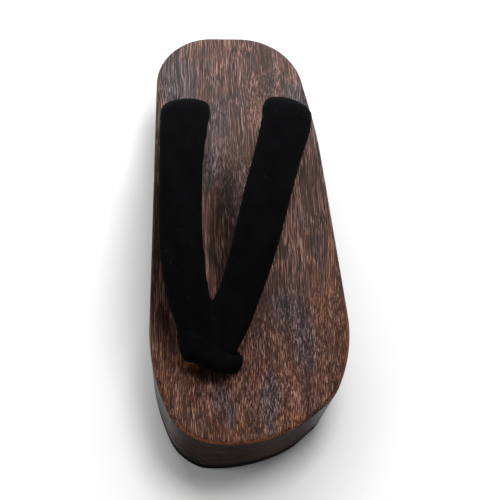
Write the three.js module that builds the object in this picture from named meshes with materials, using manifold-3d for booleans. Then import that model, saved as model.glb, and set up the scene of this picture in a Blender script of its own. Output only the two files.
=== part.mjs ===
// A left geta sandal in millimetres: +Z up, toe towards -Y, the big-toe side towards -X.
// The origin is the centre of the footprint, on the ground.
// A charred wooden board with a bevelled toe and a hollowed arch stands on two rubber soles. A padded
// velvet strap arches from two rear holes to a fold at the front, where a toe loop ties it down.
import * as THREE from "three";
import { mergeVertices } from "three/addons/utils/BufferGeometryUtils.js";
import Module from "manifold-3d";

const wasm = await Module();
wasm.setup();

// Driving dimensions
const BOARD_TOP = 40; // height of the surface the foot stands on
const EDGE_ROUND = 2.4; // radius of the worn round along the top edge
const TAPER = 1.8; // how far the foot of the wall stands in from its top, all round
const TAPER_LATERAL = 4.5; // and how much further on the little-toe side
const SOLE = 4.7; // thickness of the rubber
const GAP = 0.3; // between pieces that touch
const TOE_BEVEL = { x: -1.5, y: -122.8, turn: 13.8 }; // a point of its rear edge, and that edge's skew
const TOE_BEVEL_RISE = 0.8; // rise per millimetre forward of it
const HEEL_BEVEL_START = 122;
const HEEL_BEVEL_RISE = 0.4;
const ARCH_FRONT = -14; // where the forefoot ends and the hollow of the arch starts
const ARCH_BACK = 70;
const ARCH_TOP = 20; // height of the hollow's crown
const ARCH_SHOULDER = 0.22; // softness of its curve: 0 is steep, 0.5 is a long slope
const HOLE_RADIUS = 6.2;
const CORD_RADIUS = 3;
const KNOT_RADIUS = 7.5;
const KNOT_HEIGHT = 9;
const FRONT_HOLE = { x: -11, y: -85, recess: 11, ceiling: 20 };
const MEDIAL_HOLE = { x: -34, y: 58, recess: 10, ceiling: 24 };
const LATERAL_HOLE = { x: 24.5, y: 59, recess: 10, ceiling: 24 };
const HOLES = [FRONT_HOLE, MEDIAL_HOLE, LATERAL_HOLE];
const STUB_DEPTH = 4; // how far a strap's drawn-in end reaches down its hole
const CYLINDER_SIDES = 28;
const KNOT_SIDES = 20;
const BEYOND = 20; // how far a cutting solid reaches past the shoe, all round
const FOOTPRINT = { width: 110, length: 266 };

// The board's outline: the corners of a polygon, each rounded by an arc of the given radius.
const OUTLINE = [
  { x: -49.5, y: 132.7, radius: 33 }, // heel, medial
  { x: 28.7, y: 132.3, radius: 37.7 }, // heel, lateral
  { x: 42.6, y: 64.6, radius: 300 }, // waist, lateral
  { x: 56.1, y: -75.3, radius: 87.5 }, // ball, lateral
  { x: 44.9, y: -104.3, radius: 31 }, // little toe
  { x: 10.2, y: -136.2, radius: 65.8 }, // toe tip
  { x: -38.5, y: -129.3, radius: 30.6 }, // big toe
  { x: -55.2, y: -87.2, radius: 129 }, // ball, medial
];
const ARC_STEP = 3.5; // rough length of one facet along the outline
const EDGE_TURNS = [30, 60, 90]; // facets of the top edge's round, in degrees

// Sections of the two straps, from the rear hole to the fold. x, y and rise (above the board) place the
// middle of the section, width and thick are its size, roll leans its outer edge down, in degrees.
const MEDIAL_STRAP = [
  { x: -34, y: 58, rise: -STUB_DEPTH, width: 10.6, thick: 9.4, roll: 0 },
  { x: -34, y: 58, rise: 1, width: 10.8, thick: 9.4, roll: 0 },
  { x: -34.1, y: 61, rise: 8, width: 20.5, thick: 9, roll: 0 },
  { x: -34.2, y: 65, rise: 15, width: 27.4, thick: 9.6, roll: 0 },
  { x: -34.3, y: 65.2, rise: 22.5, width: 29, thick: 10.4, roll: 0 },
  { x: -34.5, y: 59, rise: 29, width: 28.6, thick: 10.6, roll: 2 },
  { x: -35.1, y: 45.5, rise: 33.5, width: 27.2, thick: 10, roll: 6 },
  { x: -36.2, y: 25.5, rise: 36, width: 25.4, thick: 9.4, roll: 9 },
  { x: -37, y: 1.5, rise: 35.5, width: 24.8, thick: 9.4, roll: 10 },
  { x: -37.2, y: -20.5, rise: 32, width: 24.8, thick: 9.4, roll: 10 },
  { x: -36, y: -38.5, rise: 27, width: 25.6, thick: 9.4, roll: 9 },
  { x: -33.6, y: -53.5, rise: 21.5, width: 26, thick: 9.4, roll: 7 },
  { x: -29.4, y: -67, rise: 16, width: 23, thick: 9.2, roll: 4 },
  { x: -26.4, y: -80, rise: 10.5, width: 19.5, thick: 8.8, roll: 0 },
];
const LATERAL_STRAP = [
  { x: 24.5, y: 59, rise: -STUB_DEPTH, width: 10.6, thick: 9.4, roll: 0 },
  { x: 24.5, y: 59, rise: 1, width: 10.8, thick: 9.4, roll: 0 },
  { x: 24.9, y: 62, rise: 8, width: 20.5, thick: 9, roll: 0 },
  { x: 25.3, y: 66, rise: 15, width: 27.4, thick: 9.6, roll: 0 },
  { x: 25.1, y: 66.2, rise: 22.5, width: 28.8, thick: 10.4, roll: 0 },
  { x: 24.6, y: 60, rise: 29, width: 28.8, thick: 10.6, roll: 2 },
  { x: 22, y: 46, rise: 33.5, width: 28, thick: 10, roll: 6 },
  { x: 16.4, y: 25.5, rise: 36, width: 26.2, thick: 9.4, roll: 9 },
  { x: 10, y: 1.5, rise: 35.5, width: 25.6, thick: 9.4, roll: 10 },
  { x: 4.2, y: -20.5, rise: 32, width: 25.6, thick: 9.4, roll: 10 },
  { x: -1.2, y: -38.5, rise: 27, width: 26, thick: 9.4, roll: 9 },
  { x: -6.6, y: -53.5, rise: 21.5, width: 26, thick: 9.4, roll: 7 },
  { x: -12, y: -67, rise: 16.4, width: 25.2, thick: 9.4, roll: 4 },
  { x: -17, y: -78.5, rise: 12, width: 22.6, thick: 9, roll: 0 },
  { x: -20, y: -86, rise: 9, width: 17, thick: 8.4, roll: 0 },
];
const STRAP_STEPS = 36; // sections along one strap
const STRAP_SIDES = 18; // points round one section
const DOME_TURNS = [30, 55, 75]; // facets of a strap's rounded nose, in degrees
const PADDING = 2.2; // exponent of the padded section: 2 is an ellipse, more is squarer

// The toe loop: a padded band folded round the nose of the straps, and the stem that it sends down the
// front hole. Its rear edge lies in a plane that crosses both straps aslant.
const LOOP_THICK = 2.2;
const LOOP_WIDTH = 30; // along the straps; it reaches past their nose and closes round it
const LOOP_EDGE = { x: -27, y: -77.7, rise: 18.9 }; // a point of its rear edge
const LOOP_AXIS = new THREE.Vector3(0.57, 0.82, 0.1).normalize();
const LOOP_BACK = -71.5; // and its corner is trimmed off square here
const STEM = [
  { x: -11, y: -85, rise: -STUB_DEPTH, width: 10.4, thick: 10.4 },
  { x: -11, y: -85, rise: 1, width: 10.6, thick: 10.4 },
  { x: -11.4, y: -86.2, rise: 5.5, width: 13, thick: 12.4 },
  { x: -14, y: -88, rise: 10, width: 13, thick: 10 },
];
const STEM_STEPS = 8;

// The points of a polygon whose corners are rounded by arcs, all the way round.
function roundedOutline(corners) {
  const points = [];
  corners.forEach((corner, i) => {
    const here = new THREE.Vector2(corner.x, corner.y);
    const before = corners[(i + corners.length - 1) % corners.length];
    const after = corners[(i + 1) % corners.length];
    const back = new THREE.Vector2(before.x, before.y).sub(here).normalize();
    const on = new THREE.Vector2(after.x, after.y).sub(here).normalize();
    const half = Math.acos(back.dot(on)) / 2;
    const bisector = back.clone().add(on).normalize();
    const centre = here.clone().addScaledVector(bisector, corner.radius / Math.sin(half));
    const tangent = corner.radius / Math.tan(half);
    const start = here.clone().addScaledVector(back, tangent).sub(centre).angle();
    const end = here.clone().addScaledVector(on, tangent).sub(centre).angle();
    const steps = Math.max(2, Math.round((corner.radius * (Math.PI - 2 * half)) / ARC_STEP));
    const arc = new THREE.Path().absarc(centre.x, centre.y, corner.radius, start, end, true);
    points.push(...arc.getPoints(steps));
  });
  return points.reverse();
}

// The outward normal of a closed outline at each of its points.
function outlineNormals(points) {
  return points.map((_, i) => {
    const before = points[(i + points.length - 1) % points.length];
    const after = points[(i + 1) % points.length];
    return new THREE.Vector2(after.y - before.y, before.x - after.x).normalize();
  });
}

// A closed solid through rings of points, with flat ends.
function loft(rings) {
  const count = rings[0].length;
  const positions = rings.flat().flatMap((p) => [p.x, p.y, p.z]);
  const faces = [];
  for (let r = 0; r < rings.length - 1; r += 1) {
    for (let i = 0; i < count; i += 1) {
      const a = r * count + i;
      const b = r * count + ((i + 1) % count);
      faces.push(a, b, b + count, a, b + count, a + count);
    }
  }
  const last = (rings.length - 1) * count;
  const middle = (ring) => ring.reduce((sum, p) => sum.add(p), new THREE.Vector3()).divideScalar(count);
  const bottom = middle(rings[0]);
  const top = middle(rings.at(-1));
  positions.push(bottom.x, bottom.y, bottom.z, top.x, top.y, top.z);
  const bottomIndex = rings.length * count;
  for (let i = 0; i < count; i += 1) {
    const next = (i + 1) % count;
    faces.push(bottomIndex, next, i);
    faces.push(bottomIndex + 1, last + i, last + next);
  }
  const geometry = new THREE.BufferGeometry();
  geometry.setAttribute("position", new THREE.Float32BufferAttribute(positions, 3));
  geometry.setIndex(faces);
  return geometry;
}

// A closed surface as a solid that can be cut and joined.
function solid(geometry) {
  const bare = new THREE.BufferGeometry();
  bare.setAttribute("position", geometry.getAttribute("position"));
  bare.setIndex(geometry.index);
  const merged = mergeVertices(bare, 1e-4);
  return new wasm.Manifold(
    new wasm.Mesh({
      numProp: 3,
      vertProperties: merged.attributes.position.array,
      triVerts: new Uint32Array(merged.index.array),
    }),
  );
}

function namedMesh(name, shape, finish) {
  const made = shape.getMesh();
  const geometry = new THREE.BufferGeometry();
  geometry.setAttribute("position", new THREE.BufferAttribute(made.vertProperties, 3));
  geometry.setIndex(new THREE.BufferAttribute(made.triVerts, 1));
  const flat = geometry.toNonIndexed();
  flat.computeVertexNormals();
  const mesh = new THREE.Mesh(flat, new THREE.MeshStandardMaterial(finish));
  mesh.name = name;
  return mesh;
}

// The tapered block that holds board and soles, from the ground to the top edge's round.
function taperedBlock() {
  const outline = roundedOutline(OUTLINE);
  const normals = outlineNormals(outline);
  const wallTop = BOARD_TOP - EDGE_ROUND;
  const ring = (z, inset) =>
    outline.map((p, i) => {
      const depth = inset(normals[i]);
      return new THREE.Vector3(p.x - normals[i].x * depth, p.y - normals[i].y * depth, z);
    });
  const rings = [
    ring(0, (n) => TAPER + TAPER_LATERAL * Math.max(0, n.x)),
    ring(wallTop, () => 0),
  ];
  for (const turn of EDGE_TURNS) {
    const angle = THREE.MathUtils.degToRad(turn);
    const inset = EDGE_ROUND * (1 - Math.cos(angle));
    rings.push(ring(wallTop + EDGE_ROUND * Math.sin(angle), () => inset));
  }
  return solid(loft(rings));
}

// A side profile (y, z) carried right across the shoe along X.
function across(shape) {
  const span = FOOTPRINT.width + 2 * BEYOND;
  const geometry = new THREE.ExtrudeGeometry(shape, { depth: span, bevelEnabled: false, curveSegments: 16 });
  geometry.translate(0, 0, -span / 2);
  // the shape's x and y become Y and Z, its depth becomes X
  return geometry.applyMatrix4(new THREE.Matrix4().set(0, 0, 1, 0, 1, 0, 0, 0, 0, 1, 0, 0, 0, 0, 0, 1));
}

// All that lies below the wood, with its arch and its two bevels. drop lowers that surface, which gives
// the faces of the rubber.
function belowTheWood(drop) {
  const line = SOLE + GAP - drop;
  const floor = -2 * BEYOND;
  const end = FOOTPRINT.length / 2 + BEYOND;
  const archMiddle = (ARCH_FRONT + ARCH_BACK) / 2;
  const shoulder = (ARCH_BACK - ARCH_FRONT) * ARCH_SHOULDER;
  const profile = new THREE.Shape();
  profile.moveTo(-end, floor);
  profile.lineTo(-end, line);
  profile.lineTo(ARCH_FRONT, line);
  profile.bezierCurveTo(ARCH_FRONT + shoulder, line, ARCH_FRONT + shoulder, ARCH_TOP, archMiddle, ARCH_TOP);
  profile.bezierCurveTo(ARCH_BACK - shoulder, ARCH_TOP, ARCH_BACK - shoulder, line, ARCH_BACK, line);
  profile.lineTo(HEEL_BEVEL_START, line);
  profile.lineTo(end, line + (end - HEEL_BEVEL_START) * HEEL_BEVEL_RISE);
  profile.lineTo(end, floor);
  const reach = 2 * BEYOND;
  const wedge = new THREE.Shape();
  wedge.moveTo(0, line);
  wedge.lineTo(-reach, line + reach * TOE_BEVEL_RISE);
  wedge.lineTo(-reach, floor);
  wedge.lineTo(0, floor);
  const bevel = across(wedge);
  bevel.rotateZ(THREE.MathUtils.degToRad(TOE_BEVEL.turn));
  bevel.translate(TOE_BEVEL.x, TOE_BEVEL.y, 0);
  return solid(across(profile)).add(solid(bevel));
}

// Rubber between the wood and the ground, over the part of the sole that lies between two Y values.
function rubberSheet(block, from, to) {
  const piece = new THREE.BoxGeometry(FOOTPRINT.width + BEYOND, to - from, 2 * BOARD_TOP);
  piece.translate(0, (from + to) / 2, 0);
  return block.intersect(belowTheWood(GAP)).subtract(belowTheWood(SOLE + GAP)).intersect(solid(piece));
}

function uprightCylinder(radius, from, to, middle) {
  const geometry = new THREE.CylinderGeometry(radius, radius, to - from, CYLINDER_SIDES);
  geometry.rotateX(Math.PI / 2);
  geometry.translate(middle.x, middle.y, (from + to) / 2);
  return solid(geometry);
}

// A padded band through its table of sections, with a domed far end. grow makes it fatter all round.
function paddedBand(rows, steps, outerSide, grow = 0) {
  const curve = (pick) =>
    new THREE.SplineCurve(rows.map((row, i) => new THREE.Vector2(i / (rows.length - 1), pick(row))));
  const path = new THREE.CatmullRomCurve3(
    rows.map((row) => new THREE.Vector3(row.x, row.y, BOARD_TOP + row.rise)),
    false,
    "centripetal",
  );
  const width = curve((row) => row.width);
  const thick = curve((row) => row.thick);
  const roll = curve((row) => (row.roll ?? 0) * outerSide);
  const forward = new THREE.Vector3(rows.at(-1).x - rows[0].x, rows.at(-1).y - rows[0].y, 0);
  const level = new THREE.Vector3(-forward.y, forward.x, 0).normalize();
  const power = (v) => Math.sign(v) * Math.abs(v) ** (2 / PADDING);
  const section = (t, dome) => {
    const tangent = path.getTangent(t);
    const side = level.clone().addScaledVector(tangent, -level.dot(tangent)).normalize();
    side.applyAxisAngle(tangent, THREE.MathUtils.degToRad(roll.getPoint(t).y));
    const up = new THREE.Vector3().crossVectors(tangent, side);
    const full = thick.getPoint(t).y / 2 + grow;
    const halfThick = full * Math.cos(dome);
    const halfWidth = width.getPoint(t).y / 2 + grow - full * (1 - Math.cos(dome));
    const centre = path.getPoint(t).addScaledVector(tangent, full * Math.sin(dome));
    const ring = [];
    for (let k = 0; k < STRAP_SIDES; k += 1) {
      const angle = (k / STRAP_SIDES) * Math.PI * 2;
      ring.push(
        centre
          .clone()
          .addScaledVector(side, power(Math.cos(angle)) * halfWidth)
          .addScaledVector(up, power(Math.sin(angle)) * halfThick),
      );
    }
    return ring;
  };
  const rings = [];
  for (let s = 0; s <= steps; s += 1) rings.push(section(s / steps, 0));
  for (const turn of DOME_TURNS) rings.push(section(1, THREE.MathUtils.degToRad(turn)));
  const made = solid(loft(rings));
  return made.volume() > 0 ? made : solid(loft(rings.reverse()));
}

function straps(grow = 0) {
  const medial = paddedBand(MEDIAL_STRAP, STRAP_STEPS, 1, grow);
  const lateral = paddedBand(LATERAL_STRAP, STRAP_STEPS, -1, grow);
  return medial.add(lateral);
}

function toeLoop() {
  const slab = new THREE.BoxGeometry(2 * BOARD_TOP, LOOP_WIDTH, 2 * BOARD_TOP);
  const level = new THREE.Vector3(LOOP_AXIS.y, -LOOP_AXIS.x, 0).normalize();
  const upright = new THREE.Vector3().crossVectors(level, LOOP_AXIS);
  const edge = new THREE.Vector3(LOOP_EDGE.x, LOOP_EDGE.y, BOARD_TOP + LOOP_EDGE.rise);
  slab.applyMatrix4(new THREE.Matrix4().makeBasis(level, LOOP_AXIS, upright));
  slab.translate(...edge.addScaledVector(LOOP_AXIS, -LOOP_WIDTH / 2).toArray());
  const trim = new THREE.BoxGeometry(2 * BOARD_TOP, 2 * BOARD_TOP, 4 * BOARD_TOP);
  trim.translate(LOOP_EDGE.x, LOOP_BACK - BOARD_TOP, BOARD_TOP);
  const fold = straps(LOOP_THICK + GAP).intersect(solid(slab)).intersect(solid(trim));
  return fold.add(paddedBand(STEM, STEM_STEPS, 0)).subtract(straps(GAP));
}

const block = taperedBlock();

let dai = block.subtract(belowTheWood(0));
for (const hole of HOLES) {
  dai = dai.subtract(uprightCylinder(HOLE_RADIUS, -BEYOND, BOARD_TOP + BEYOND, hole));
  dai = dai.subtract(uprightCylinder(hole.recess, -BEYOND, hole.ceiling, hole));
}
const frontRecess = uprightCylinder(FRONT_HOLE.recess, -BEYOND, BOARD_TOP, FRONT_HOLE);
const soleFront = rubberSheet(block, -FOOTPRINT.length, ARCH_FRONT).subtract(frontRecess);
const soleHeel = rubberSheet(block, ARCH_BACK, FOOTPRINT.length);

// A knot's outline, from its underside up: shares of its radius and of its height.
const KNOT_OUTLINE = [
  { out: 0, down: 1 },
  { out: 0.6, down: 1 },
  { out: 0.92, down: 0.78 },
  { out: 1, down: 0.5 },
  { out: 0.92, down: 0.2 },
  { out: 0.7, down: 0 },
];

// A cord down its hole, and the knot that holds it against the ceiling of the recess.
function cordAndKnot(hole) {
  const knotTop = hole.ceiling - GAP;
  const cordTop = BOARD_TOP - STUB_DEPTH - GAP - knotTop;
  const profile = KNOT_OUTLINE.map((p) => new THREE.Vector2(p.out * KNOT_RADIUS, -p.down * KNOT_HEIGHT));
  profile.push(new THREE.Vector2(CORD_RADIUS, 0));
  profile.push(new THREE.Vector2(CORD_RADIUS, cordTop));
  profile.push(new THREE.Vector2(0, cordTop));
  const geometry = new THREE.LatheGeometry(profile, KNOT_SIDES);
  geometry.rotateX(Math.PI / 2);
  geometry.translate(hole.x, hole.y, knotTop);
  return solid(geometry);
}

const hanao = straps();
const maetsubo = toeLoop();

const CHARRED_WOOD = { color: 0x5a3f33, roughness: 0.45, metalness: 0 };
const BLACK_VELVET = { color: 0x0b0b0d, roughness: 0.95, metalness: 0 };
const BLACK_RUBBER = { color: 0x141414, roughness: 0.7, metalness: 0 };
const BLACK_CORD = { color: 0x1a1816, roughness: 0.9, metalness: 0 };

const geta = new THREE.Group();
geta.add(namedMesh("dai", dai, CHARRED_WOOD));
geta.add(namedMesh("hanao", hanao, BLACK_VELVET));
geta.add(namedMesh("maetsubo", maetsubo, BLACK_VELVET));
geta.add(namedMesh("sole_front", soleFront, BLACK_RUBBER));
geta.add(namedMesh("sole_heel", soleHeel, BLACK_RUBBER));
geta.add(namedMesh("knot_front", cordAndKnot(FRONT_HOLE), BLACK_CORD));
geta.add(namedMesh("knot_rear_medial", cordAndKnot(MEDIAL_HOLE), BLACK_CORD));
geta.add(namedMesh("knot_rear_lateral", cordAndKnot(LATERAL_HOLE), BLACK_CORD));

export default geta;
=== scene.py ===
"""Looks of a left geta sandal: a charred paulownia board on two rubber soles, with a padded velvet thong.

Sizes are in millimetres until a piece is finished, when its mesh is brought to metres. The shoe's frame is
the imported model's: toe towards -Y, the big-toe side towards -X, +Z up, the ground at Z = 0.
"""
import math

import bmesh
import bpy
from mathutils import Matrix, Vector
from mathutils.geometry import interpolate_bezier


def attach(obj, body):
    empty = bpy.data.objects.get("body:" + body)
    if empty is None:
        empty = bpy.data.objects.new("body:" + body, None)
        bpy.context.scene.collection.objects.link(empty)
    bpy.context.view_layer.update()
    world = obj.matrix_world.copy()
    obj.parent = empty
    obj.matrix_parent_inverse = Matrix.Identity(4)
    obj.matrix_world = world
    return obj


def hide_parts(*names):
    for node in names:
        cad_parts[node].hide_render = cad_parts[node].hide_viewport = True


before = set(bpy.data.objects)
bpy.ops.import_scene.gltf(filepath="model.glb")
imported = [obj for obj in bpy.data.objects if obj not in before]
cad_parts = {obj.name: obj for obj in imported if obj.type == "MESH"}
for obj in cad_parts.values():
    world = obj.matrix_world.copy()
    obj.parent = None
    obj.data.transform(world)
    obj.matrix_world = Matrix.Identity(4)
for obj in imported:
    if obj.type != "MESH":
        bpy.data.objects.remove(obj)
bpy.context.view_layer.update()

MM = 0.001

# Driving sizes of the board and its soles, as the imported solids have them.
BOARD_TOP = 40
EDGE_ROUND = 2.4
EDGE_FACETS = 8
TAPER = 1.8  # how far the foot of the wall stands in from its top
TAPER_LATERAL = 4.5  # and how much further on the little-toe side
SOLE = 4.7  # thickness of the sheet rubber
GAP = 0.3  # the way between two pieces that meet
TOE_BEVEL = Vector((-1.5, -122.8, 0))  # a point of the line from which the underside rises to the toe
TOE_BEVEL_TURN = math.radians(13.8)
TOE_BEVEL_RISE = 0.8  # height gained for each millimetre forwards
HEEL_BEVEL_START = 122
HEEL_BEVEL_RISE = 0.4
ARCH_FRONT = -14
ARCH_BACK = 70
ARCH_TOP = 20
ARCH_SHOULDER = 0.22  # the reach of the curve's handles, as a share of the arch's length
ARCH_STEPS = 40
FOOTPRINT_WIDTH = 110
FOOTPRINT_LENGTH = 266
BEYOND = 20  # how far a cutting tool reaches past the shoe
MERGE_DISTANCE = 1e-4
SOFTNESS = 0.5  # how far a point moves to its neighbours' middle each time a skin is softened

# The outline's corners, clockwise seen from above: x, y and the radius of the arc that rounds each.
OUTLINE = [
    (-49.5, 132.7, 33),  # heel, medial
    (28.7, 132.3, 37.7),  # heel, lateral
    (42.6, 64.6, 300),  # waist, lateral
    (56.1, -75.3, 87.5),  # ball, lateral
    (44.9, -104.3, 31),  # little toe
    (10.2, -136.2, 65.8),  # toe tip
    (-38.5, -129.3, 30.6),  # big toe
    (-55.2, -87.2, 129),  # ball, medial
]
OUTLINE_STEP = 1.4

# Thong holes: place, radius and ceiling of the knot's recess below.
FRONT_HOLE = {"x": -11, "y": -85, "recess": 11, "ceiling": 20}
MEDIAL_HOLE = {"x": -34, "y": 58, "recess": 10, "ceiling": 24}
LATERAL_HOLE = {"x": 24.5, "y": 59, "recess": 10, "ceiling": 24}
HOLES = [FRONT_HOLE, MEDIAL_HOLE, LATERAL_HOLE]
HOLE_RADIUS = 6.2
HOLE_SIDES = 48
HOLE_EASE = 0.4  # how far the mouth of a hole is worn open
HOLE_EASE_BEND = 0.3  # the middle of that worn round, as a share of it
HOLE_CLEAR = 0.02  # the mouth ends this far above the top, so that the cut leaves no sliver
STUB_DEPTH = 4  # how far a strap's drawn-in end reaches down its hole
CORD_RADIUS = 2.1
CORD_SIDES = 18
CORD_RINGS = 170
CORD_AIM = 0.001  # share of the way over which the cord's direction is taken
CORD_LAY = 9  # length in which the strands go once round
STRANDS = 3
STRAND_DEPTH = 0.2  # the furrow between two strands, as a share of the cord's radius
KNOT_DEPTH = 5  # the knot's middle lies this far below the ceiling of its recess
KNOT_ARM = 1.95  # a third of the radius at which the knot's outermost cord runs
KNOT_RISE = 1.9  # how far the knot's crossing cords part
KNOT_POINTS = 28
KNOT_OPEN = 0.22  # the angle at each end of the knot's curve that the cord leaves out
CORD_LIFT = 2  # the cord's straight stretch is led by a point this far above its middle
# The cord's way into the knot and its tail, from the knot's middle.
KNOT_LEAD = [(0, 0, 7), (1.4, 0.5, 4.8)]
KNOT_TAIL = [(5.6, -3.6, -3.4), (4.6, -4.6, -6.4)]

# Sections of the straps from the rear hole to the fold: x, y, rise above the board, width, thickness and
# roll of the outer edge downwards in degrees.
MEDIAL_STRAP = [
    (-34, 58, -4, 10.6, 9.4, 0),
    (-34, 58, 1, 10.8, 9.4, 0),
    (-34.2, 61, 8, 20.5, 9, 0),
    (-34.2, 65, 15, 24.6, 9.8, 0),
    (-34, 65.4, 22.5, 27.4, 13.2, 0),
    (-34.4, 59.3, 29, 29.6, 12.6, 2),
    (-35.5, 45.5, 33.5, 28.8, 10, 6),
    (-36.9, 25.5, 36, 27, 9.4, 9),
    (-37.7, 1.5, 35.5, 26.2, 9.4, 10),
    (-37.8, -20.5, 32, 26.2, 9.4, 10),
    (-36.4, -38.5, 27, 26.2, 9.4, 9),
    (-34.2, -53.5, 21.5, 25.2, 9.4, 7),
    (-30, -67.5, 16, 23.4, 9.4, 4),
    (-26.9, -82, 10, 20.2, 9.2, 0),
]
LATERAL_STRAP = [
    (24.5, 59, -4, 10.6, 9.4, 0),
    (24.5, 59, 1, 10.8, 9.4, 0),
    (24.6, 62, 8, 20, 9, 0),
    (24.2, 66, 15, 22.6, 9.8, 0),
    (23.6, 66.2, 22.5, 26.2, 13, 0),
    (23.4, 60, 29, 29.4, 12.4, 2),
    (21.6, 46, 33.5, 29.8, 10, 6),
    (16.4, 25.5, 36, 28.6, 9.4, 9),
    (10.1, 1.5, 35.5, 28, 9.4, 10),
    (4.4, -20.5, 32, 27.6, 9.4, 10),
    (-0.7, -38.5, 27, 26.4, 9.4, 9),
    (-6, -53.5, 21.5, 25, 9.4, 7),
    (-12, -67, 16.4, 25.2, 9.4, 4),
    (-17, -78.5, 12, 22.6, 9, 0),
    (-20.8, -87.6, 9, 18.4, 8.6, 0),
]
STEM = [
    (-11, -85, -4, 10.4, 10.4, 0),
    (-11, -85, -0.4, 10.8, 10.8, 0),
    (-11.1, -85.3, 1.6, 13.6, 13.4, 0),
    (-11.4, -86, 5.5, 13.6, 12.8, 0),
    (-14, -88, 9.6, 13, 10, 0),
]
STRAP_RINGS = 70
STRAP_SIDES = 36
STRAP_AIM = 0.002  # share of the way over which a strap's direction is taken
STEM_RINGS = 16
NOSE_TURNS = (15, 30, 45, 58, 70, 80)  # degrees round the domed nose at which its rings lie
PLEATS = 9  # gathers where a strap is drawn into its rear hole
PLEAT_DEPTH = 0.07  # of the section's size
PLEAT_REACH = 0.2  # share of the strap over which they run out
ROUND_END = 2.0  # exponent of the padded section at the rear ends: 2 is an ellipse, more is squarer
PADDING = 2.4  # and at the nose
PADDING_SLOPE = 2.5  # how fast it changes on the way there, between 0.48 and 0.88 of the way
PADDING_START = 1.2
LOOP_THICK = 1.7
LOOP_LIP = 0.5  # its thickness at the lip
LOOP_TAPER = 10  # over this length
LOOP_EDGE = Vector((-27, -77.7, BOARD_TOP + 18.9))  # a point of the plane in which the loop's lip lies
LOOP_AXIS = Vector((0.57, 0.82, 0.1)).normalized()  # and the way that plane faces
LOOP_BACK = Vector((0, -74.5, 0))  # the lip's corner is trimmed off square here
SLACK = 0.8  # how much flatter the velvet tubes lie before they are filled
HELD_BELOW = BOARD_TOP + 2  # the drawn-in end of a tube, which is held
FILL_FRAMES = 20
FILL_PRESSURE = 4
VELVET_MASS = 0.3
CLOTH_QUALITY = 5


# Making meshes

def piece_from(bm, name):
    """A finished bmesh as an object of the scene, brought from millimetres to metres."""
    bmesh.ops.scale(bm, vec=(MM, MM, MM), verts=bm.verts)
    bmesh.ops.recalc_face_normals(bm, faces=bm.faces)
    mesh = bpy.data.meshes.new(name)
    bm.to_mesh(mesh)
    bm.free()
    made = bpy.data.objects.new(name, mesh)
    bpy.context.scene.collection.objects.link(made)
    return made


def settle(piece):
    """Applies the piece's modifiers to its mesh."""
    shaped = piece.evaluated_get(bpy.context.evaluated_depsgraph_get())
    mesh = bpy.data.meshes.new_from_object(shaped)
    piece.modifiers.clear()
    piece.data = mesh
    return piece


def carve(piece, tool, operation):
    """Cuts, joins or keeps what the two share, and takes the tool away."""
    step = piece.modifiers.new(operation, "BOOLEAN")
    step.operation = operation
    step.solver = "EXACT"
    step.object = tool
    settle(piece)
    bpy.data.objects.remove(tool)
    return piece


def into_triangles(piece):
    """Splits the piece's bent quads, which a cut would otherwise leave with folded corners."""
    piece.modifiers.new("triangles", "TRIANGULATE")
    return settle(piece)


def remesh(piece, voxel):
    """One even closed skin round everything in the piece."""
    step = piece.modifiers.new("skin", "REMESH")
    step.mode = "VOXEL"
    step.voxel_size = voxel * MM
    return settle(piece)


def soften(piece, times):
    """Evens out the steps that a remesh leaves."""
    step = piece.modifiers.new("soften", "SMOOTH")
    step.iterations = times
    step.factor = SOFTNESS
    return settle(piece)


def smooth_faces(piece, crease_degrees):
    """Smooth shading, with an edge where the surface turns by more than this."""
    for face in piece.data.polygons:
        face.use_smooth = True
    piece.data.set_sharp_from_angle(angle=math.radians(crease_degrees))
    weights = piece.modifiers.new("even normals", "WEIGHTED_NORMAL")
    weights.keep_sharp = True
    return piece


# Board and soles

def outline_face(bm, z):
    """The board's outline as one face: arcs spun about the corners' centres, and straight edges between."""
    ring = []
    for i, (x, y, radius) in enumerate(OUTLINE):
        here = Vector((x, y, z))
        back = (Vector((*OUTLINE[i - 1][:2], z)) - here).normalized()
        on = (Vector((*OUTLINE[(i + 1) % len(OUTLINE)][:2], z)) - here).normalized()
        half = back.angle(on) / 2
        centre = here + (back + on).normalized() * radius / math.sin(half)
        first = bm.verts.new(here + back * radius / math.tan(half))
        sweep = math.pi - 2 * half
        steps = max(3, round(radius * sweep / OUTLINE_STEP))
        before = len(bm.verts)
        bmesh.ops.spin(bm, geom=[first], cent=centre, axis=(0, 0, -1), angle=sweep, steps=steps)
        bm.verts.ensure_lookup_table()
        ring += [first, *bm.verts[before:]]
    for edge in list(bm.edges):
        bm.edges.remove(edge)
    face = bm.faces.new(ring)
    face.normal_update()
    return face


def push_in(face, depth):
    """Moves each corner of a level face inwards by depth(outward normal)."""
    moves = {}
    for loop in face.loops:
        along = loop.link_loop_next.vert.co - loop.link_loop_prev.vert.co
        out = Vector((along.y, -along.x, 0)).normalized() * (1 if face.normal.z > 0 else -1)
        moves[loop.vert] = out * -depth(out)
    for vert, move in moves.items():
        vert.co += move


def tapered_block():
    """Board and soles in one, from the ground to the worn round of the top edge."""
    bm = bmesh.new()
    ground = outline_face(bm, 0)
    raised = bmesh.ops.extrude_face_region(bm, geom=[ground], use_keep_orig=True)["geom"]
    top = next(item for item in raised if isinstance(item, bmesh.types.BMFace))
    for vert in top.verts:
        vert.co.z = BOARD_TOP
    bmesh.ops.recalc_face_normals(bm, faces=bm.faces)
    wall = BOARD_TOP - EDGE_ROUND
    push_in(ground, lambda out: TAPER + TAPER_LATERAL * max(0, out.x))
    push_in(top, lambda out: -(TAPER + TAPER_LATERAL * max(0, out.x)) * EDGE_ROUND / wall)
    bmesh.ops.bevel(
        bm, geom=list(top.edges), affect="EDGES", offset=EDGE_ROUND, segments=EDGE_FACETS,
        profile=0.5, material=-1,
    )
    return piece_from(bm, "block")


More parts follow.
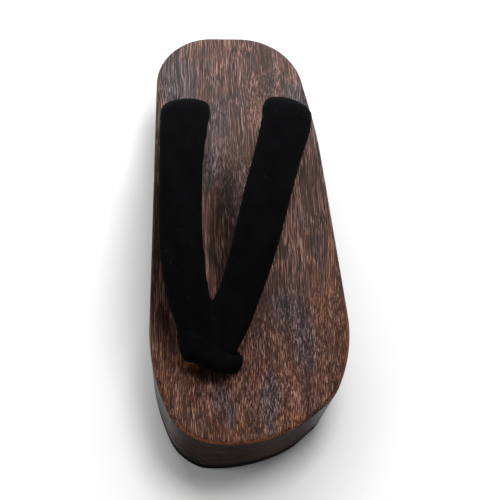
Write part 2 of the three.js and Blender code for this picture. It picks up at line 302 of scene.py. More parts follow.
def across(profile):
    """A side profile of (y, z) points carried right across the shoe."""
    bm = bmesh.new()
    half = FOOTPRINT_WIDTH / 2 + BEYOND
    side = bm.faces.new([bm.verts.new((-half, y, z)) for y, z in profile])
    carried = bmesh.ops.extrude_face_region(bm, geom=[side], use_keep_orig=True)["geom"]
    moved = [item for item in carried if isinstance(item, bmesh.types.BMVert)]
    bmesh.ops.translate(bm, vec=(2 * half, 0, 0), verts=moved)
    return bm


def below_the_wood(drop):
    """All that lies below the wood, with its arch and its two bevels. drop lowers that surface."""
    line = SOLE + GAP - drop
    end = FOOTPRINT_LENGTH / 2 + BEYOND
    floor = -2 * BEYOND
    crown = ((ARCH_FRONT + ARCH_BACK) / 2, ARCH_TOP)
    shoulder = (ARCH_BACK - ARCH_FRONT) * ARCH_SHOULDER
    rise = interpolate_bezier(
        Vector((ARCH_FRONT, line)), Vector((ARCH_FRONT + shoulder, line)),
        Vector((ARCH_FRONT + shoulder, ARCH_TOP)), Vector(crown), ARCH_STEPS,
    )
    fall = interpolate_bezier(
        Vector(crown), Vector((ARCH_BACK - shoulder, ARCH_TOP)),
        Vector((ARCH_BACK - shoulder, line)), Vector((ARCH_BACK, line)), ARCH_STEPS,
    )
    heel = (end, line + (end - HEEL_BEVEL_START) * HEEL_BEVEL_RISE)
    profile = [(-end, floor), (-end, line), *[tuple(p) for p in rise], *[tuple(p) for p in fall[1:]]]
    profile += [(HEEL_BEVEL_START, line), heel, (end, floor)]
    below = piece_from(across(profile), "below")
    reach = 2 * BEYOND
    toe = (-reach, line + reach * TOE_BEVEL_RISE)
    wedge = across([(0, line), toe, (-reach, floor), (0, floor)])
    skew = Matrix.Translation(TOE_BEVEL) @ Matrix.Rotation(TOE_BEVEL_TURN, 4, "Z")
    bmesh.ops.transform(wedge, matrix=skew, verts=wedge.verts)
    return carve(below, piece_from(wedge, "wedge"), "UNION")


def spun(name, profile, x, y):
    """A profile of (radius, z) points spun about an upright axis at x, y."""
    bm = bmesh.new()
    verts = [bm.verts.new((radius, 0, z)) for radius, z in profile]
    edges = [bm.edges.new(pair) for pair in zip(verts, verts[1:])]
    bmesh.ops.spin(
        bm, geom=[*verts, *edges], cent=(0, 0, 0), axis=(0, 0, 1), angle=math.tau, steps=HOLE_SIDES,
        use_merge=True,
    )
    bmesh.ops.remove_doubles(bm, verts=bm.verts, dist=MERGE_DISTANCE)
    bmesh.ops.translate(bm, vec=(x, y, 0), verts=bm.verts)
    return piece_from(bm, name)


def hole_tool(hole):
    """Drill for a thong hole: the recess for the knot, the hole, and its worn mouth in the top."""
    recess, ceiling = hole["recess"], hole["ceiling"]
    bend = HOLE_EASE_BEND * HOLE_EASE
    mouth = HOLE_RADIUS + HOLE_EASE
    return spun("drill", [
        (0, -BEYOND), (recess, -BEYOND), (recess, ceiling), (HOLE_RADIUS, ceiling),
        (HOLE_RADIUS, BOARD_TOP - HOLE_EASE), (HOLE_RADIUS + bend, BOARD_TOP - bend),
        (mouth, BOARD_TOP + HOLE_CLEAR), (mouth, BOARD_TOP + BEYOND), (0, BOARD_TOP + BEYOND),
    ], hole["x"], hole["y"])


def make_board():
    """The wooden board, with its arch and bevels, drilled for the thong."""
    board = carve(tapered_block(), below_the_wood(0), "DIFFERENCE")
    for hole in HOLES:
        carve(board, hole_tool(hole), "DIFFERENCE")
    board.name = "board"
    return smooth_faces(board, crease_degrees=32)


def slab(start, end):
    """All of the shoe between two places along it, to cut a sole off square."""
    bm = bmesh.new()
    reach = FOOTPRINT_WIDTH + BEYOND
    middle = Matrix.Translation((0, (start + end) / 2, 0))
    bmesh.ops.create_cube(bm, size=1, matrix=middle @ Matrix.Diagonal((reach, end - start, 4 * BEYOND, 1)))
    return piece_from(bm, "slab")


def make_sole(name, start, end):
    """Sheet rubber that follows the wood's underside between two places along the shoe."""
    sole = carve(into_triangles(tapered_block()), below_the_wood(GAP), "INTERSECT")
    carve(sole, below_the_wood(SOLE + GAP), "DIFFERENCE")
    carve(sole, slab(start, end), "INTERSECT")
    sole.name = name
    return sole


# The padded thong

def flow(rows, share):
    """The table's row at a share of its way, on a centripetal spline through the rows."""
    knots = [0.0]
    for a, b in zip(rows, rows[1:]):
        knots.append(knots[-1] + math.dist(a[:3], b[:3]) ** 0.5)
    place = share * (len(rows) - 1)
    i = min(int(place), len(rows) - 2)
    t = knots[i] + (place - i) * (knots[i + 1] - knots[i])

    def entry(k):
        """A row and its knot. Beyond either end the path goes straight on."""
        if k < 0:
            return [2 * a - b for a, b in zip(rows[0], rows[1])], 2 * knots[0] - knots[1]
        if k >= len(rows):
            return [2 * a - b for a, b in zip(rows[-1], rows[-2])], 2 * knots[-1] - knots[-2]
        return rows[k], knots[k]

    (p0, t0), (p1, t1), (p2, t2), (p3, t3) = (entry(i + k) for k in (-1, 0, 1, 2))

    def mix(a, b, ta, tb):
        """What lies at t on the way from a, reached at ta, to b, reached at tb."""
        return [((tb - t) * u + (t - ta) * v) / (tb - ta) for u, v in zip(a, b)]

    a1, a2, a3 = mix(p0, p1, t0, t1), mix(p1, p2, t1, t2), mix(p2, p3, t2, t3)
    b1, b2 = mix(a1, a2, t0, t2), mix(a2, a3, t1, t3)
    return mix(b1, b2, t1, t2)


def lay_ring(bm, ring, place, last):
    """Puts a ring of vertices in its place and bridges it to the last one. The first ring is closed."""
    bmesh.ops.transform(bm, matrix=place, verts=ring)
    edges = list({edge for vert in ring for edge in vert.link_edges})
    if last is None:
        bmesh.ops.contextual_create(bm, geom=edges)
    else:
        bmesh.ops.bridge_loops(bm, edges=last + edges)
    return edges


def padded_band(bm, rows, rings, outer_side, grow=0.0, slack=0.0):
    """Rings of a padded section along the table's path, bridged, with a domed nose. grow thickens the
    section all round, and slack flattens it."""
    forward = Vector(rows[-1][:2]) - Vector(rows[0][:2])
    level = Vector((-forward.y, forward.x, 0)).normalized()
    stations = [(i / rings, 0) for i in range(rings + 1)]
    stations += [(1, math.radians(turn)) for turn in NOSE_TURNS]
    last = None
    for share, dome in stations:
        x, y, rise, width, thick, roll = flow(rows, share)
        ahead = flow(rows, min(1, share + STRAP_AIM))
        behind = flow(rows, max(0, share - STRAP_AIM))
        tangent = (Vector(ahead[:3]) - Vector(behind[:3])).normalized()
        side = (level - tangent * level.dot(tangent)).normalized()
        side.rotate(Matrix.Rotation(math.radians(roll * outer_side), 3, tangent))
        up = tangent.cross(side)
        centre = Vector((x, y, BOARD_TOP + rise))
        swell = grow(centre) if callable(grow) else grow
        full = thick / 2 + swell - slack
        half_thick = full * math.cos(dome)
        half_width = width / 2 + swell - full * (1 - math.cos(dome))
        centre += tangent * full * math.sin(dome)
        ring = bmesh.ops.create_circle(bm, cap_ends=False, radius=1, segments=STRAP_SIDES)["verts"]
        fuller = min(1, max(0, PADDING_SLOPE * share - PADDING_START))
        square = ROUND_END + (PADDING - ROUND_END) * fuller
        gather = PLEAT_DEPTH * max(0, 1 - share / PLEAT_REACH)
        for k, vert in enumerate(ring):
            pleat = 1 + gather * math.cos(math.tau * PLEATS * k / STRAP_SIDES)
            vert.co = Vector([math.copysign(abs(c) ** (2 / square), c) * pleat for c in vert.co])
        place = Matrix((side * half_width, up * half_thick, tangent)).transposed().to_4x4()
        place.translation = centre
        last = lay_ring(bm, ring, place, last)
    bmesh.ops.contextual_create(bm, geom=last)


def straps(name, grow):
    """Both straps in one piece, thickened all round."""
    bm = bmesh.new()
    padded_band(bm, MEDIAL_STRAP, STRAP_RINGS, 1, grow)
    padded_band(bm, LATERAL_STRAP, STRAP_RINGS, -1, grow)
    return piece_from(bm, name)


def fill(piece):
    """Pads a velvet tube: pressure from inside swells its cloth, and no point moves further than SLACK."""
    scene = bpy.context.scene
    rest = [vert.co.copy() for vert in piece.data.vertices]
    pinned = piece.vertex_groups.new(name="held")
    pinned.add([i for i, place in enumerate(rest) if (place / MM).z < HELD_BELOW], 1.0, "REPLACE")
    cloth = piece.modifiers.new("cloth", "CLOTH")
    cloth.settings.quality = CLOTH_QUALITY
    cloth.settings.mass = VELVET_MASS
    cloth.settings.use_pressure = True
    cloth.settings.uniform_pressure_force = FILL_PRESSURE
    cloth.settings.vertex_group_mass = "held"
    cloth.settings.effector_weights.gravity = 0
    for frame_number in range(1, FILL_FRAMES + 1):
        scene.frame_set(frame_number)
    settle(piece)
    scene.frame_set(1)
    for vert, place in zip(piece.data.vertices, rest):
        move = vert.co - place
        if move.length > SLACK * MM:
            vert.co = place + move * (SLACK * MM / move.length)
    return piece


def make_straps():
    """The two velvet tubes, each filled by itself, then joined at the front with a crease between them."""
    joined = bmesh.new()
    for rows, outer_side in ((MEDIAL_STRAP, 1), (LATERAL_STRAP, -1)):
        bm = bmesh.new()
        padded_band(bm, rows, STRAP_RINGS, outer_side, slack=SLACK)
        tube = remesh(piece_from(bm, "tube"), voxel=1.5)
        fill(tube)
        soften(tube, times=7)
        finer = tube.modifiers.new("finer", "SUBSURF")
        finer.levels = finer.render_levels = 1
        settle(tube)
        joined.from_mesh(tube.data)
        bpy.data.objects.remove(tube)
    bmesh.ops.scale(joined, vec=(1 / MM, 1 / MM, 1 / MM), verts=joined.verts)
    return soften(remesh(piece_from(joined, "velvet_straps"), voxel=0.8), times=4)


def make_toe_loop():
    """Velvet band folded round the nose of the straps, with the stem that goes down the front hole."""

    def cloth(centre):
        """The band's thickness, which runs out towards its lip."""
        inside = (LOOP_EDGE - centre).dot(LOOP_AXIS) / LOOP_TAPER
        return GAP + LOOP_LIP + (LOOP_THICK - LOOP_LIP) * min(1, max(0, inside))

    wrap = remesh(straps("wrap", cloth), voxel=0.9)
    bm = bmesh.new()
    bm.from_mesh(wrap.data)
    bpy.data.objects.remove(wrap)
    for edge, away in ((LOOP_EDGE, LOOP_AXIS), (LOOP_BACK, Vector((0, 1, 0)))):
        cut = bmesh.ops.bisect_plane(
            bm, geom=[*bm.verts, *bm.edges, *bm.faces], plane_co=edge * MM, plane_no=away, clear_outer=True,
        )["geom_cut"]
        bmesh.ops.holes_fill(bm, edges=[item for item in cut if isinstance(item, bmesh.types.BMEdge)])
    bmesh.ops.scale(bm, vec=(1 / MM, 1 / MM, 1 / MM), verts=bm.verts)
    padded_band(bm, STEM, STEM_RINGS, 0)
    loop = soften(remesh(piece_from(bm, "toe_loop"), voxel=0.7), times=8)
    core = remesh(straps("core", GAP), voxel=1.0)
    return carve(into_triangles(loop), into_triangles(core), "DIFFERENCE")


# The cords below

def cord_and_knot(name, hole):
    """Cord of three strands, down its hole to an overhand knot in the recess, with a short tail."""
    top = BOARD_TOP - STUB_DEPTH - GAP
    knot = hole["ceiling"] - GAP - KNOT_DEPTH
    x, y = hole["x"], hole["y"]
    route = list(KNOT_LEAD)
    for i in range(KNOT_POINTS + 1):
        at = KNOT_OPEN + (math.tau - 2 * KNOT_OPEN) * i / KNOT_POINTS
        arm = KNOT_ARM * (2 + math.cos(3 * at))
        route.append((arm * math.cos(2 * at), arm * math.sin(2 * at), KNOT_RISE * math.sin(3 * at)))
    route += KNOT_TAIL
    rows = [(x, y, top), (x, y, (top + knot) / 2 + CORD_LIFT)]
    rows += [(x + right, y + back, knot + up) for right, back, up in route]
    bm = bmesh.new()
    side = Vector((1, 0, 0))
    run = 0.0
    before = None
    last = None
    for i in range(CORD_RINGS + 1):
        share = i / CORD_RINGS
        centre = Vector(flow(rows, share))
        ahead = Vector(flow(rows, min(1, share + CORD_AIM)))
        behind = Vector(flow(rows, max(0, share - CORD_AIM)))
        tangent = (ahead - behind).normalized()
        side = (side - tangent * side.dot(tangent)).normalized()
        run += (centre - before).length if before else 0
        before = centre
        ring = bmesh.ops.create_circle(bm, cap_ends=False, radius=1, segments=CORD_SIDES)["verts"]
        for k, vert in enumerate(ring):
            angle = math.tau * k / CORD_SIDES
            strand = abs(math.cos(STRANDS / 2 * (angle + math.tau * run / CORD_LAY)))
            full = 1 - STRAND_DEPTH + STRAND_DEPTH * strand
            vert.co = Vector((math.cos(angle), math.sin(angle), 0)) * CORD_RADIUS * full
        place = Matrix((side, tangent.cross(side), tangent)).transposed().to_4x4()
        place.translation = centre
        last = lay_ring(bm, ring, place, last)
    bmesh.ops.contextual_create(bm, geom=last)
    return piece_from(bm, name)


# Materials

def linear(hex_code):
    """An sRGB hex colour as the linear colour that a shader takes."""
    channels = [int(hex_code[i:i + 2], 16) / 255 for i in (1, 3, 5)]
    return (*[c / 12.92 if c <= 0.04045 else ((c + 0.055) / 1.055) ** 2.4 for c in channels], 1)


def feed(tree, node, inputs):
    """Gives the sockets, by name or in order, their number, hex colour or the output that feeds them."""
    for name, value in inputs.items() if isinstance(inputs, dict) else enumerate(inputs):
        if isinstance(value, bpy.types.NodeSocket):
            tree.links.new(value, node.inputs[name])
        else:
            node.inputs[name].default_value = linear(value) if isinstance(value, str) else value


def add(tree, kind, inputs, out=0, stops=(), **settings):
    """Adds a node with its settings and links, and gives back one of its outputs. stops are the places and
    hex colours of a colour ramp."""
    node = tree.nodes.new(kind)
    for name, value in settings.items():
        setattr(node, name, value)
    if stops:
        colours = node.color_ramp.elements
        while len(colours) < len(stops):
            colours.new(0.5)
        for element, (place, colour) in zip(colours, stops):
            element.position = place
            element.color = linear(colour)
    feed(tree, node, inputs)
    return node.outputs[out]


# Map Range takes a value, the span that it comes from and the span that it goes to, eased at both ends.
EASED = {"interpolation_type": "SMOOTHSTEP"}


def sum_of(tree, terms):
    """The sum of (value, share) terms."""
    total = 0.0
    for value, share in terms:
        total = add(tree, "ShaderNodeMath", (value, share, total), operation="MULTIPLY_ADD")
    return total


def millimetres(tree):
    """Object coordinates in millimetres."""
    place = add(tree, "ShaderNodeTexCoord", {}, out="Object")
    return add(tree, "ShaderNodeMapping", {"Vector": place, "Scale": (1 / MM,) * 3})


def grain(tree, place, size, detail=2.0, roughness=0.5, distortion=0.0, out="Fac"):
    """Noise whose lumps have this size in millimetres along X, Y and Z."""
    stretched = add(tree, "ShaderNodeMapping", {"Vector": place, "Scale": tuple(1 / s for s in size)})
    return add(tree, "ShaderNodeTexNoise", {
        "Vector": stretched, "Scale": 1.0, "Detail": detail, "Roughness": roughness,
        "Distortion": distortion,
    }, out=out)


def zones(tree, place, spots, depth=4 * BOARD_TOP):
    """How far a point lies inside the spots, each an (x, y, reach in x, reach in y) on the board's top."""
    total = None
    for x, y, reach_x, reach_y in spots:
        local = add(tree, "ShaderNodeMapping", {
            "Vector": place, "Location": (x, y, BOARD_TOP), "Scale": (reach_x, reach_y, depth),
        }, vector_type="TEXTURE")
        inside = add(tree, "ShaderNodeTexGradient", {"Vector": local}, out="Fac", gradient_type="SPHERICAL")
        if total is None:
            total = inside
        else:
            total = add(tree, "ShaderNodeMath", (total, inside), operation="MAXIMUM")
    return total


def new_material(name):
    """A material with its node tree and its shader."""
    material = bpy.data.materials.new(name)
    material.use_nodes = True
    tree = material.node_tree
    return material, tree, tree.nodes["Principled BSDF"]


RING_WIDTH = 1.05  # the growth rings of quarter-sawn paulownia, in millimetres
RING_WANDER = 14.0  # how far they wander, in radians

# Where the grain runs in short curls.
CURLY_SPOTS = [(-10, 36, 26, 34), (5, -104, 80, 60), (26, -66, 44, 50), (14, 98, 22, 30)]
# Where the soot lies thick.
SOOTY_SPOTS = [
    (-16, 76, 10, 34), (-20, 40, 12, 26), (-10, 14, 8, 20), (20, -52, 14, 22), (30, -70, 12, 26),
    (10, -106, 8, 24), (-15, -108, 9, 20), (36, -116, 9, 8), (-38, 96, 20, 26), (30, 86, 12, 18),
]
# Where the wood stayed amber.
AMBER_SPOTS = [
    (50, -80, 9, 34), (-40, -90, 16, 30), (25, -120, 20, 9), (-14, -124, 28, 9), (-24, 112, 16, 16),
    (16, 100, 14, 26), (0, 60, 14, 30), (44, -30, 16, 40),
]
# Painted shade: where the straps shade the board, along the medial edge, between the straps and under the
# toe loop, the wood is painted nearly black.
STRAP_SHADE_SPOTS = [
    (-53, -5, 13, 110), (-14, 5, 15, 60), (-12, -20, 12, 46), (-22, -92, 16, 9), (-47, -58, 8, 36),
]
# Where the round of the rim is rubbed back to brown wood and painted lighter where it catches the light,
# and where the varnish of the side shines.
RUBBED_AND_LIT_EDGES = [(-24, -127, 30, 18), (6, -132, 22, 8), (53, -70, 8, 40)]
GLOSSY_SIDES = [(-52, -100, 24, 56), (44, -106, 18, 36)]
KNOT_EYE = [(36, -115.5, 5, 3.2)]  # a small knot in the wood


def charred_paulownia():
    """Paulownia, scorched, brushed along the grain and varnished: pale ridges stand between dark threads.
    The finest threads are about 0.2 mm thick. They are drawn at 0.28 and 0.42 mm, so that they show."""
    material, tree, shader = new_material("charred_brushed_paulownia")
    place = millimetres(tree)
    along = add(tree, "ShaderNodeSeparateXYZ", {"Vector": place}, out="Y")
    height = add(tree, "ShaderNodeSeparateXYZ", {"Vector": place}, out="Z")

    # The threads sway as they run along the board, and the growth rings stripe them faintly.
    drift = grain(tree, place, (26, 60, 26), out="Color")
    wavy = add(tree, "ShaderNodeVectorMath", (drift, (7, 0, 7), place), operation="MULTIPLY_ADD")
    over = add(tree, "ShaderNodeSeparateXYZ", {"Vector": wavy}, out="X")
    uneven = grain(tree, place, (2.4, 45, 2.4), 1)
    turn = sum_of(tree, [(over, math.tau / RING_WIDTH), (uneven, RING_WANDER)])
    rings = add(tree, "ShaderNodeMath", (turn,), operation="SINE")

    # Where the grain curls, short threads take the place of long ones and the rings fade.
    patchy = grain(tree, place, (16, 22, 16))
    curls = sum_of(tree, [(zones(tree, place, CURLY_SPOTS), 0.7), (patchy, 0.9)])
    curly = add(tree, "ShaderNodeMapRange", (curls, 0.45, 1.0), **EASED)
    long_threads = grain(tree, wavy, (0.42, 30, 0.42))
    short_threads = grain(tree, wavy, (0.42, 4.4, 0.42), 2, 0.55, 0.6)
    threads = add(tree, "ShaderNodeMix", {0: curly, 2: long_threads, 3: short_threads})
    ringed = add(tree, "ShaderNodeMapRange", (curly, 0.0, 0.8, 0.042, 0.008), **EASED)
    rings = add(tree, "ShaderNodeMath", (rings, ringed), operation="MULTIPLY")
    hairs = grain(tree, wavy, (0.28, 6, 0.28), 1)
    bands = grain(tree, wavy, (5, 70, 5))
    relief = sum_of(tree, [(threads, 0.62), (hairs, 0.22), (bands, 0.16), (rings, 1.0)])

    # Soot, amber wood, which fades towards the heel, and painted shade beside, between and under the
    # straps.
    sooty_noise = grain(tree, wavy, (8, 24, 8), 3, 0.6)
    soot = sum_of(tree, [(zones(tree, place, SOOTY_SPOTS), 0.42), (sooty_noise, 1.0)])
    soot = add(tree, "ShaderNodeMapRange", (soot, 0.45, 0.85), **EASED)
    amber_noise = grain(tree, wavy, (4, 16, 4), 3, 0.6)
    amber = sum_of(tree, [(zones(tree, place, AMBER_SPOTS), 0.5), (amber_noise, 1.0)])
    amber = add(tree, "ShaderNodeMapRange", (amber, 0.46, 0.84), **EASED)
    fading = add(tree, "ShaderNodeMapRange", (along, -110, 60, 1.0, 0.25), **EASED)
    amber = add(tree, "ShaderNodeMath", (amber, fading), operation="MULTIPLY")
    # Painted shade: the wood is darkened nearly black where the straps and the toe loop would shade it.
    painted_strap_shade = sum_of(tree, [(zones(tree, place, STRAP_SHADE_SPOTS), 0.8), (sooty_noise, 0.4)])
    painted_strap_shade = add(tree, "ShaderNodeMapRange", (painted_strap_shade, 0.2, 0.9, 0.0, 0.72), **EASED)

    # Painted glints: pale dashes where the grain curls. Then the knot's eye, the rim, rubbed back and
    # painted lighter where its round catches the light, and the dark foot of its round.
    glint_dashes = grain(tree, wavy, (0.45, 3.6, 0.45), 1)
    # Painted highlight: pale glints laid on the curly grain.
    pale = add(tree, "ShaderNodeMapRange", (glint_dashes, 0.58, 0.72, 0.0, 0.28), **EASED)
    pale = add(tree, "ShaderNodeMath", (pale, curly), operation="MULTIPLY")
    eye = zones(tree, place, KNOT_EYE, depth=BOARD_TOP)
    eye = add(tree, "ShaderNodeMapRange", (eye, 0.05, 0.6, 0.0, 0.85), **EASED)
    # The rim's brown is partly real wear and partly a painted highlight where the round of the rim catches
    # the light.
    rubbed_and_lit = sum_of(tree, [(zones(tree, place, RUBBED_AND_LIT_EDGES), 1.2), (amber_noise, 0.6)])
    rubbed_and_lit = add(tree, "ShaderNodeMapRange", (rubbed_and_lit, 0.6, 1.15), **EASED)
    rim_wear_and_highlight = add(tree, "ShaderNodeMapRange", (height, BOARD_TOP - 0.05, BOARD_TOP - 0.5, 0.0, 0.6), **EASED)
    rim_wear_and_highlight = add(tree, "ShaderNodeMath", (rim_wear_and_highlight, rubbed_and_lit), operation="MULTIPLY")
    wall = add(tree, "ShaderNodeMapRange", (height, BOARD_TOP - 1.9, BOARD_TOP - 1.1, 0.96, 0.0), **EASED)

    # The same relief in three kinds of wood, and what lies over it, from below upwards.
    colour = add(tree, "ShaderNodeValToRGB", {"Fac": relief}, stops=[
        (0.42, "#22120e"), (0.47, "#331a13"), (0.51, "#46261b"), (0.55, "#64392b"), (0.6, "#9c7465"),
    ])
    warm = add(tree, "ShaderNodeValToRGB", {"Fac": relief}, stops=[
        (0.42, "#23110a"), (0.47, "#361a0e"), (0.51, "#4a2715"), (0.55, "#683a22"), (0.6, "#986b49"),
    ])
    smoked = add(tree, "ShaderNodeValToRGB", {"Fac": relief}, stops=[
        (0.42, "#160e10"), (0.49, "#2a1c1f"), (0.55, "#473438"), (0.6, "#877073"),
    ])
    # Of these tints, the pale one paints glints, the near-black one paints shade by the straps, and the
    # rim's brown is partly a painted highlight.
    for share, tint in (
        (amber, warm), (soot, smoked), (pale, "#b28d78"), (eye, "#1d1214"), (painted_strap_shade, "#170d0b"),
        (rim_wear_and_highlight, "#7d482b"), (wall, "#0d0807"),
    ):
        colour = add(tree, "ShaderNodeMix", {0: share, 6: colour, 7: tint}, out=2, data_type="RGBA")

    # The ridges shine most, more towards the heel, and the painted shade stays matt.
    rough = add(tree, "ShaderNodeMapRange", (relief, 0.42, 0.6, 0.56, 0.34), **EASED)
    shine = add(tree, "ShaderNodeMapRange", (along, -110, 100, 0.1, 0.3), **EASED)
    matt = add(tree, "ShaderNodeMapRange", (painted_strap_shade, 0.0, 0.7, 1.0, 0.3), **EASED)
    shine = add(tree, "ShaderNodeMath", (shine, matt), operation="MULTIPLY")
    bump = add(tree, "ShaderNodeBump", {"Height": relief, "Strength": 0.7, "Distance": 0.7 * MM})
    feed(tree, shader, {
        "Base Color": colour, "Roughness": rough, "Specular IOR Level": shine, "Normal": bump,
    })
    return material


def charred_side():
    """The board's sides and underside: the same wood, scorched through its skin, sanded and varnished. Its
    layers show as dull streaks along the side, with a mottled gloss at the corners of the toe."""
    material, tree, shader = new_material("charred_side_paulownia")
    place = millimetres(tree)
    sway = grain(tree, place, (30, 110, 40), 1, out="Color")
    place = add(tree, "ShaderNodeVectorMath", (sway, (0, 0, 7), place), operation="MULTIPLY_ADD")
    layers = grain(tree, place, (14, 110, 0.6), 2, 0.6)
    streaks = grain(tree, place, (14, 70, 3), 3, 0.6)
    scorch = grain(tree, place, (22, 50, 22))
    burn = sum_of(tree, [(layers, 0.46), (streaks, 0.36), (scorch, 0.18)])
    colour = add(tree, "ShaderNodeValToRGB", {"Fac": burn}, stops=[
        (0.4, "#0f0907"), (0.48, "#1b110b"), (0.54, "#2b1c13"), (0.6, "#402c20"), (0.66, "#5c4331"),
    ])
    fine = grain(tree, place, (9, 12, 0.5))
    rough = add(tree, "ShaderNodeMapRange", (fine, 0.35, 0.65, 0.34, 0.52), **EASED)
    mottled = grain(tree, place, (4, 5, 1.6), 3, 0.65)
    corners = add(tree, "ShaderNodeMapRange", (zones(tree, place, GLOSSY_SIDES), 0.05, 0.8), **EASED)
    patchy = add(tree, "ShaderNodeMapRange", (mottled, 0.36, 0.64, 0.25, 1.0), **EASED)
    gloss = add(tree, "ShaderNodeMath", (corners, patchy), operation="MULTIPLY")
    gloss = add(tree, "ShaderNodeMapRange", (gloss, 0.0, 1.0, 0.03, 0.5), **EASED)
    height = sum_of(tree, [(fine, 0.5), (mottled, 1.0)])
    bump = add(tree, "ShaderNodeBump", {"Height": height, "Strength": 0.5, "Distance": 0.5 * MM})
    feed(tree, shader, {
        "Base Color": colour, "Roughness": rough, "Specular IOR Level": gloss, "Normal": bump,
    })
    return material


def black_velvet():
    """Cotton velvet, woven and cut: the pile swallows light seen straight on and glows at the edges. Its
    tufts are about 0.1 mm wide. They are drawn at 0.35 mm, so that the nap shows."""
    material, tree, shader = new_material("black_velvet")
    place = millimetres(tree)
    pile = grain(tree, place, (0.35, 0.35, 0.35))
    brushed = grain(tree, place, (9, 14, 9))
    colour = add(tree, "ShaderNodeValToRGB", {"Fac": sum_of(tree, [(pile, 0.5), (brushed, 0.5)])}, stops=[
        (0.35, "#020203"), (0.65, "#08080a"),
    ])

    # A few specks of lint.
    lint = grain(tree, place, (0.5, 0.5, 0.5), 0)
    scarce = grain(tree, place, (3.5, 3.5, 3.5), 0)
    lint = add(tree, "ShaderNodeMapRange", (lint, 0.68, 0.74, 0.0, 1.0), **EASED)
    scarce = add(tree, "ShaderNodeMapRange", (scarce, 0.74, 0.8, 0.0, 1.0), **EASED)
    specks = add(tree, "ShaderNodeMath", (lint, scarce), operation="MULTIPLY")
    colour = add(tree, "ShaderNodeMix", {0: specks, 6: colour, 7: "#2c2c30"}, out=2, data_type="RGBA")
    bump = add(tree, "ShaderNodeBump", {"Height": pile, "Strength": 0.35, "Distance": 0.2 * MM})
    feed(tree, shader, {
        "Base Color": colour, "Roughness": 0.95, "Specular IOR Level": 0.05, "Sheen Weight": 0.02,
        "Sheen Roughness": 0.35, "Sheen Tint": "#c8ccd8", "Normal": bump,
    })
    return material


def black_rubber():
    """Calendered sheet rubber: matt black, with a fine pebble that catches a little dust."""
    material, tree, shader = new_material("black_sheet_rubber")
    pebble = grain(tree, millimetres(tree), (0.6, 0.6, 0.6), 3)
    colour = add(tree, "ShaderNodeValToRGB", {"Fac": pebble}, stops=[(0.3, "#0a0909"), (0.7, "#141312")])
    bump = add(tree, "ShaderNodeBump", {"Height": pebble, "Strength": 0.4, "Distance": 0.15 * MM})
    feed(tree, shader, {
        "Base Color": colour, "Roughness": 0.72, "Specular IOR Level": 0.03, "Normal": bump,
    })
    return material


def cotton_cord():
    """Black cotton cord: dull twisted yarn. Its fibres are drawn at 0.4 mm, many times as thick as they
    are, so that they show."""
    material, tree, shader = new_material("black_cotton_cord")
    fibre = grain(tree, millimetres(tree), (0.4, 0.4, 0.4), 3)
    colour = add(tree, "ShaderNodeValToRGB", {"Fac": fibre}, stops=[(0.3, "#12100f"), (0.7, "#262321")])
    feed(tree, shader, {"Base Color": colour, "Roughness": 0.92})
    return material


def coat(piece, material):
    """Gives a piece its material, and the slot that it fills."""
    piece.data.materials.clear()
    piece.data.materials.append(material)


# The shoe

wood = charred_paulownia()
velvet = black_velvet()
rubber = black_rubber()
cord = cotton_cord()

board = make_board()
coat(board, wood)
board.data.materials.append(charred_side())
for face in board.data.polygons:
    if face.center.z < (BOARD_TOP - EDGE_ROUND) * MM:
        face.material_index = 1
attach(board, "root")
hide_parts("dai")

thong = make_straps()
smooth_faces(thong, crease_degrees=60)
coat(thong, velvet)
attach(thong, "root")
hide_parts("hanao")

loop = make_toe_loop()
smooth_faces(loop, crease_degrees=50)
coat(loop, velvet)
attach(loop, "root")
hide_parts("maetsubo")

sole_front = make_sole("forefoot_sole", -FOOTPRINT_LENGTH, ARCH_FRONT)
recess = FRONT_HOLE["recess"]
bore = [(0, -BEYOND), (recess, -BEYOND), (recess, BOARD_TOP), (0, BOARD_TOP)]
carve(sole_front, spun("bore", bore, FRONT_HOLE["x"], FRONT_HOLE["y"]), "DIFFERENCE")
sole_heel = make_sole("heel_sole", ARCH_BACK, FOOTPRINT_LENGTH)
for sole, node in ((sole_front, "sole_front"), (sole_heel, "sole_heel")):
    smooth_faces(sole, crease_degrees=30)
    coat(sole, rubber)
    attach(sole, "root")
    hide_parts(node)

for name, node, hole in (
    ("front_cord", "knot_front", FRONT_HOLE),
    ("medial_cord", "knot_rear_medial", MEDIAL_HOLE),
    ("lateral_cord", "knot_rear_lateral", LATERAL_HOLE),
):
    knotted = cord_and_knot(name, hole)
    smooth_faces(knotted, crease_degrees=60)
    coat(knotted, cord)
    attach(knotted, "root")
    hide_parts(node)


# Floor, light and camera

FLOOR_REACH = 3000
ROOM_LIGHT = 0.18


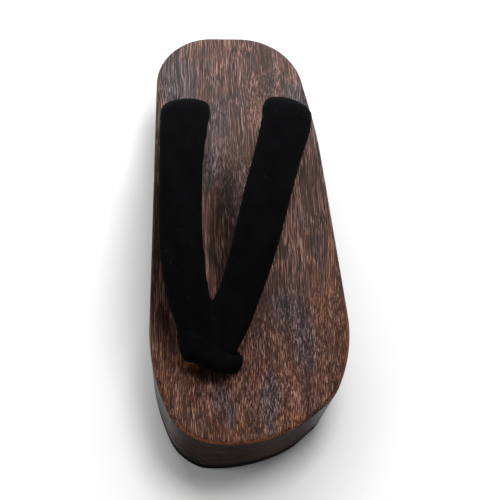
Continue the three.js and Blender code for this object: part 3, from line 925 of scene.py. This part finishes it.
def pale_floor():
    """A sheet of pale paper that reaches out of view."""
    bm = bmesh.new()
    bmesh.ops.create_grid(bm, x_segments=1, y_segments=1, size=FLOOR_REACH)
    floor = piece_from(bm, "floor")
    if floor.data.polygons[0].normal.z < 0:
        floor.data.flip_normals()
    material, tree, shader = new_material("pale_paper_floor")
    feed(tree, shader, {"Base Color": "#fafafa", "Roughness": 0.9})
    floor.data.materials.append(material)


def soft_light(name, place, target, size, power):
    """A window of light, in metres and watts, that faces its target."""
    lamp = bpy.data.lights.new(name, "AREA")
    lamp.shape = "RECTANGLE"
    lamp.size, lamp.size_y = size
    lamp.energy = power
    made = bpy.data.objects.new(name, lamp)
    made.location = place
    made.rotation_euler = (Vector(target) - Vector(place)).to_track_quat("-Z", "Y").to_euler()
    bpy.context.scene.collection.objects.link(made)


PHOTO_PITCH = math.radians(60)
CAMERA_PLACE = Vector((-52.65, -514.6, 906.0)) * MM
CAMERA_TARGET = Vector((1.54, -14.6, 40)) * MM
FOCAL_PIXELS = 1790
IMAGE_PIXELS = 500


def photo_camera():
    """The photograph's place of view, turned about its own upright to take in this one shoe."""
    lens = bpy.data.cameras.new("photo_camera")
    lens.sensor_width = 36
    lens.lens = lens.sensor_width * FOCAL_PIXELS / IMAGE_PIXELS
    camera = bpy.data.objects.new("photo_camera", lens)
    back = (CAMERA_PLACE - CAMERA_TARGET).normalized()
    photo_up = Vector((0, math.sin(PHOTO_PITCH), math.cos(PHOTO_PITCH)))
    right = photo_up.cross(back).normalized()
    up = back.cross(right)
    turn = Matrix((right, up, back)).transposed().to_4x4()
    camera.matrix_world = Matrix.Translation(CAMERA_PLACE) @ turn
    bpy.context.scene.collection.objects.link(camera)
    bpy.context.scene.camera = camera


pale_floor()
world = bpy.data.worlds.new("studio")
bpy.context.scene.world = world
world.use_nodes = True
world.node_tree.nodes["Background"].inputs["Color"].default_value = (1, 1, 1, 1)
world.node_tree.nodes["Background"].inputs["Strength"].default_value = ROOM_LIGHT
soft_light("window", place=(0.0, 0.9, 0.8), target=(0, 0, 0), size=(1.3, 0.5), power=12)
soft_light("overhead", place=(0.3, 0.28, 1.2), target=(0, 0.03, 0), size=(0.6, 0.6), power=9)
soft_light("fill", place=(-1.0, -0.35, 0.5), target=(0, -0.03, 0), size=(0.9, 0.7), power=3.3)
bpy.context.scene.view_settings.view_transform = "Standard"
photo_camera()
